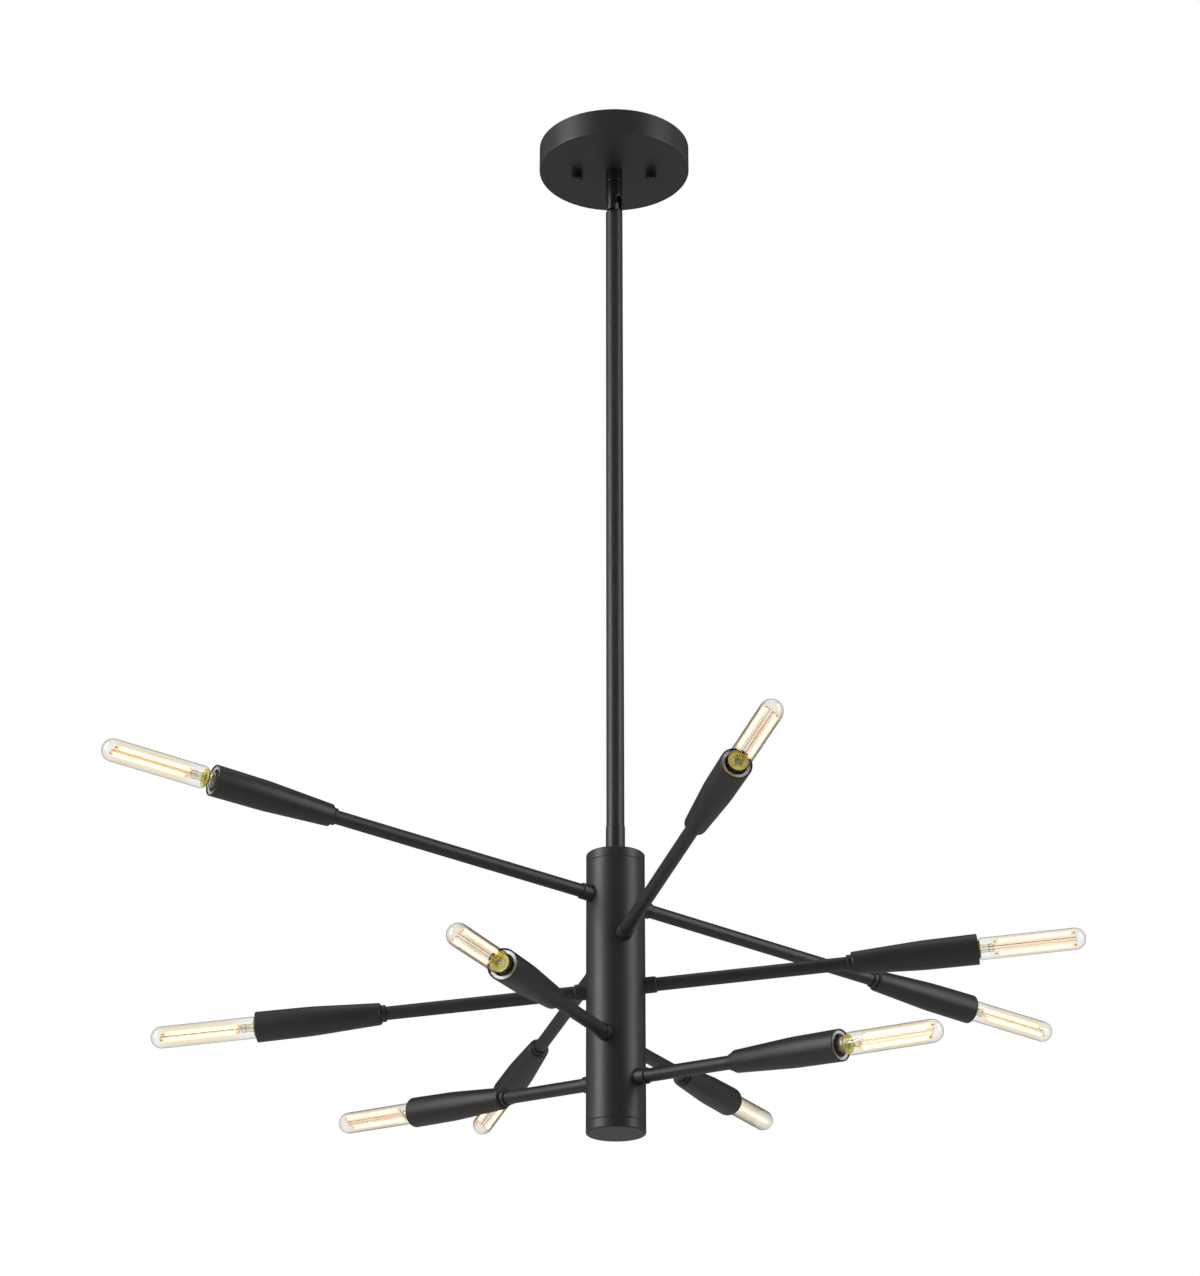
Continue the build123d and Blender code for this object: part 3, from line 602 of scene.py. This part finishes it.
def rolled_thread(turn, along, out):
    fade = min(1, max(0, along - SHELL_START - 0.6), max(0, SHELL_END - 0.4 - along))
    return out - THREAD_DEPTH * fade * (1 + sin(turn - tau * along / PITCH))


threaded = [(SHELL_START + SHELL_L * i / THREAD_ROWS, SHELL_R) for i in range(THREAD_ROWS + 1)]
skirt = [
    (SHELL_END, SKIRT_R - 0.1, 0.3),
    (BASE_END - 1.2, SKIRT_R - 0.1),
    (BASE_END - 0.8, SKIRT_R - 0.02),
    (BASE_END, SKIRT_R - 0.02, 0.15),
    (BASE_END, 0.0),
]
insulator = [
    (BASE_START + 0.9, 2.1),
    (BASE_START + 1.2, 3.6, 0.3),
    (SHELL_START - 0.3, FOOT_R, 0.3),
    (SHELL_START, FOOT_R),
]
contact = [(BASE_START, 0.0), (BASE_START + 0.1, 1.4), (BASE_START + 0.5, 2.05), (BASE_START + 1.0, 2.2)]
base = mesh_of(
    "bulb_base",
    (*turned(contact, 32), nickel),
    (*turned(insulator, 48), phenolic),
    (*turned([(SHELL_START, FOOT_R)] + threaded + skirt, 48, rolled_thread), nickel),
)
for arm in arms:
    put(f"base_{arm.number:02d}", base, arm.heel, arm.bulb, "nickel", f"{arm.bulb}_base")
print("ten bases with", round(SHELL_L / PITCH, 1), "turns of thread")

# %% [markdown]
# ## Glass
# The envelope is soda-lime tube, drawn to size, domed at one end and drawn in at the heel. A refracting
# glass shader would be the first thought, but this wall is under a millimetre, too thin to bend what is
# behind it. So the shader lets light straight through and mirrors more of the room towards the edges,
# which also renders cleaner. The longer way through the wall at its edges takes more light, which draws
# the grey outline. The inner wall's see-through colour also carries a painted warm glow beside the lit
# strips, painted light that stands in for their shine in the glass. The pressed stem
# inside is thick lead glass, so its edges are darker and a little green.

# %% Drawn glass
# Middle of the painted strip glow along the bulb, and how far from it the glow is full and gone
PAINTED_GLOW_MIDDLE, PAINTED_GLOW_FULL, PAINTED_GLOW_GONE = 50 * MM, 27 * MM, 39 * MM


def drawn_glass(name, mirrored, tints, painted_glow=None):
    finish, tree, spot = new_finish(name)
    # Ripples left by drawing, 7 mm wide and seven times as long
    drawn = add(tree, "Mapping", {"Scale": (1.0, 1.0, 0.15)}, {"Vector": spot})
    waves = {"Scale": 1 / (7 * MM), "Detail": 1.0}
    ripple = add(tree, "TexNoise", waves, {"Vector": drawn.outputs["Vector"]})
    bump = add(tree, "Bump", {"Strength": 0.05, "Distance": 0.1 * MM}, {"Height": ripple.outputs["Fac"]})
    slant = add(tree, "LayerWeight", {"Blend": 0.5}, {})
    tint = add(tree, "ValToRGB", {"stops": tints}, {"Fac": slant.outputs["Facing"]}).outputs["Color"]
    if painted_glow:
        # The painted warm glow lies beside the strips and fades towards both ends of them
        along = add(tree, "SeparateXYZ", {}, {"Vector": spot})
        off = add(tree, "Math", {"operation": "SUBTRACT", 1: PAINTED_GLOW_MIDDLE}, {0: along.outputs["Z"]})
        away = add(tree, "Math", {"operation": "ABSOLUTE"}, {0: off.outputs[0]})
        fade = {"From Min": PAINTED_GLOW_GONE, "From Max": PAINTED_GLOW_FULL}
        painted_glow_mask = add(tree, "MapRange", fade, {"Value": away.outputs[0]})
        # Painted light: this warms the see-through colour to stand in for the glow of the lit strips
        painted_glow_blend = {"data_type": "RGBA", "blend_type": "MULTIPLY", 7: linear(painted_glow)}
        tint = add(tree, "Mix", painted_glow_blend, {0: painted_glow_mask.outputs["Result"], 6: tint}).outputs[2]
    clear = add(tree, "BsdfTransparent", {}, {"Color": tint})
    # The mirrored share grows twentyfold from straight on to a glance, as it does for an IOR near 1.5
    steep = add(tree, "Math", {"operation": "POWER", 1: 5.0}, {0: slant.outputs["Facing"]})
    span = {"To Min": mirrored, "To Max": 20 * mirrored}
    gain = add(tree, "MapRange", span, {"Value": steep.outputs[0]})
    # Only the side that faces the room mirrors, because the lit strips outshine any mirror image inside
    side = add(tree, "NewGeometry", {}, {})
    outer = add(tree, "Math", {"operation": "SUBTRACT", 0: 1.0}, {1: side.outputs["Backfacing"]})
    share = add(tree, "Math", {"operation": "MULTIPLY"}, {0: gain.outputs["Result"], 1: outer.outputs[0]})
    mirror = {"Base Color": linear("#ffffff"), "Metallic": 1.0, "Roughness": 0.1}
    shine = add(tree, "BsdfPrincipled", mirror, {"Normal": bump.outputs["Normal"]})
    layers = {0: share.outputs[0], 1: clear.outputs["BSDF"], 2: shine.outputs["BSDF"]}
    wall = add(tree, "MixShader", {}, layers)
    add(tree, "OutputMaterial", {}, {"Surface": wall.outputs["Shader"]})
    print(name, "mirrors", round(100 * mirrored, 1), "percent straight on")
    return finish


# %% Soda-lime tube and lead glass stem
glass = drawn_glass(
    "soda_lime_glass_drawn_tube",
    0.03,
    ((0.001, "#fefefd"), (0.6, "#f7f7f6"), (0.76, "#d2d0cd"), (0.88, "#8c8a86"), (0.999, "#585653")),
)
# The inner wall's see-through colour carries a painted warm glow of the lit strips
glass_with_painted_glow = drawn_glass(
    "soda_lime_glass_inner_wall",
    0.004,
    ((0.001, "#fdfdfc"), (0.6, "#f9f9f8"), (0.9, "#f1f0ee"), (0.999, "#dcdad6")),
    painted_glow="#fff8ee",
)
stem_glass = drawn_glass(
    "lead_glass_pressed_stem",
    0.05,
    ((0.001, "#f6f5ec"), (0.55, "#e6e4d6"), (0.8, "#bcb9a2"), (0.999, "#6e6b5a")),
)

# %% Envelopes
WALL, HEEL = 0.8, 4.0
DOME = (GLASS_L - GLASS_R, 0)


def bend(middle, radius, start, end, steps):
    turns = [radians(start + (end - start) * i / steps) for i in range(steps + 1)]
    return [(middle[0] + radius * cos(t), middle[1] + radius * sin(t)) for t in turns]


HEEL_R = (HEEL**2 + (GLASS_R - SKIRT_R) ** 2) / (2 * (GLASS_R - SKIRT_R))
HEEL_MID = (HEEL, GLASS_R - HEEL_R)
outside = bend(HEEL_MID, HEEL_R, 158, 90, 8) + bend(DOME, GLASS_R, 90, 0, 16)
inside = bend(DOME, GLASS_R - WALL, 0, 90, 16) + bend(HEEL_MID, HEEL_R - WALL, 90, 158, 8)
outside[-1], inside[0] = (GLASS_L, 0.0), (GLASS_L - WALL, 0.0)
envelope = mesh_of(
    "envelope",
    (*turned([inside[-1]] + outside, 64), glass),
    (*turned(inside, 64), glass_with_painted_glow),
)
for arm in arms:
    put(f"glass_{arm.number:02d}", envelope, arm.heel, arm.bulb, "clear_glass", f"{arm.bulb}_glass")
print("ten envelopes with", WALL, "mm walls")

# %% [markdown]
# ## Lit strips and their mount
# Two strips of tiny diodes under a phosphor sleeve glow in each bulb. A plain glowing rod would be flat
# white. Here the sleeve is half clear orange silicone round a lit core, so the core looks white and its
# edges and ends look amber. A pressed glass stem carries the strips on drawn wires, one nickel and one
# copper-clad. A ring of olive cement seals the heel to the base, and the wires come up through its
# middle.

# %% Phosphor silicone, cast sleeve
sleeve, tree, spot = new_finish("phosphor_silicone_cast_sleeve")
# Phosphor grains of about 0.02 mm, drawn as 1 mm clouds so that they show
grain = add(tree, "TexNoise", {"Scale": 1 / (1 * MM), "Detail": 2.0}, {"Vector": spot})
tone = add(tree, "ValToRGB", {"stops": ((0, "#ffae44"), (1, "#ffc970"))}, {"Fac": grain.outputs["Fac"]})
cast = add(
    tree,
    "BsdfPrincipled",
    {"Roughness": 0.35, "IOR": 1.41, "Alpha": 0.4, "Emission Strength": 0.6},
    {"Base Color": tone.outputs["Color"], "Emission Color": tone.outputs["Color"]},
)
add(tree, "OutputMaterial", {}, {"Surface": cast.outputs["BSDF"]})
print(sleeve.name, "made with", len(tree.nodes), "nodes")

# %% Diode strip, lit
lit, tree, spot = new_finish("diode_strip_lit")
# Diodes stand about 1 mm apart along the strip, drawn 2 mm apart so that they show as a faint beading
spots = add(
    tree,
    "TexWave",
    {"bands_direction": "Z", "Scale": tau / 20 / (2 * MM), "Distortion": 0.0},
    {"Vector": spot},
)
tone = add(tree, "ValToRGB", {"stops": ((0, "#ffe0b0"), (1, "#fff4e0"))}, {"Fac": spots.outputs["Fac"]})
glow = add(
    tree,
    "BsdfPrincipled",
    {"Base Color": linear("#fff0d0"), "Emission Strength": 4.0},
    {"Emission Color": tone.outputs["Color"]},
)
add(tree, "OutputMaterial", {}, {"Surface": glow.outputs["BSDF"]})
print(lit.name, "made with", len(tree.nodes), "nodes")

# %% Copper-clad wire and olive cement
# Drawn copper looks a dull orange that drifts over about 3 mm
copper = clouded("wire_copper_clad_drawn", 3, 2.0, ("#c98a3c", "#e8b35e"), {**METAL, "Roughness": 0.45})
# Cast cement looks half glossy, mottled over about 3 mm
OLIVE = ("#b0a81c", "#e2da52")
cement = clouded("cement_olive_yellow_cast", 3, 4.0, OLIVE, {"Roughness": 0.35, "IOR": 1.5})

# %% Pressed stem, strips and wires
PRESS = 14.0
STRIP_START, STRIP_END, APART = 16.5, 82.0, 5.6
TOP, STAY = STRIP_END + 2.4, 1.3
LIT_R, SLEEVE_R, PIN_R, WIRE_R = 1.3, 1.9, 0.5, 0.3
press = [
    (1.6, 5.2),
    (3.0, 3.6, 1.2),
    (PRESS - 5.0, 3.0, 1.5),
    (PRESS - 3.5, 3.7, 0.8),
    (PRESS - 1.0, 3.7, 0.8),
    (PRESS, 2.2, 0.5),
    (PRESS, 0.0),
]
shapes = [(*turned(press, 40), stem_glass)]
for side, wire, stay_r in ((-1, nickel, 0.3), (1, copper, 0.42)):
    lead = [(1.2, PRESS - 5), (1.4, PRESS), (2.6, PRESS + 1.2), (APART, STRIP_START - 2)]
    runs = [
        (lit, LIT_R, 16, [(APART, STRIP_START + 2), (APART, STRIP_END - 2)]),
        (sleeve, SLEEVE_R, 20, [(APART, STRIP_START), (APART, STRIP_END)]),
        (nickel, PIN_R, 10, [(APART, STRIP_START - 2.2), (APART, STRIP_START + 0.2)]),
        (phenolic, PIN_R, 10, [(APART, STRIP_END - 0.2), (APART, STRIP_END + 1.6)]),
        (wire, WIRE_R, 8, lead),
        (nickel, WIRE_R, 8, [(APART, STRIP_END + 1.4), (2.6, TOP), (1.2, TOP - 1)]),
        (wire, stay_r, 8, [(STAY, PRESS - 4), (STAY, TOP)]),
        (nickel, WIRE_R, 8, [(1.6, 0.3), (1.2, PRESS - 5)]),
    ]
    for finish, radius, sides, path in runs:
        shapes.append((*rod([(side * x, z) for x, z in path], radius, sides), finish))
print("strips", STRIP_END - STRIP_START, "mm long and", 2 * APART, "mm apart")

# %% Bead, cement ring and the ten mounts
bead = [(TOP - 2.2, 0.0), (TOP - 2.2, 1.5, 0.6), (TOP - 0.2, 1.5, 0.6), (TOP - 0.2, 0.0)]
shapes.append((*turned(bead, 20), glass))
CEMENT_GAP = 0.08
heel_in = bend(HEEL_MID, HEEL_R - WALL - CEMENT_GAP, 156, 122, 4)
heel_dish = [(1.7, 5.6), (1.4, 3.4, 0.3), (0.3, 3.2)]
shapes.append((*turned(heel_in + heel_dish, 48), cement))
mount = mesh_of("mount", *shapes)
# Each bulb was screwed home to a different angle, so its strips face another way
TURNS = (7, 59, -40, 45, 86, 137, 39, 31, 75, 36)
for arm, turn in zip(arms, TURNS):
    where = arm.heel @ Matrix.Rotation(radians(turn), 4, "Z")
    put(f"mount_{arm.number:02d}", mount, where, arm.bulb, "filament", f"{arm.bulb}_filament")

# %% [markdown]
# Dressing must not change the object's size, so the box of the finished model is written beside the box
# of the construction model. The second box takes the corners of each tilted bulb's own box, so it comes
# out a few millimetres wider, though no point of a mesh lies outside the first.

# %% Boxes of both models, and the end
visual_box = [list(corner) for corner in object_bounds()]
for name, box in (("solids", cad_box), ("dressed", visual_box)):
    print(name, [[round(x, 4) for x in corner] for corner in box])
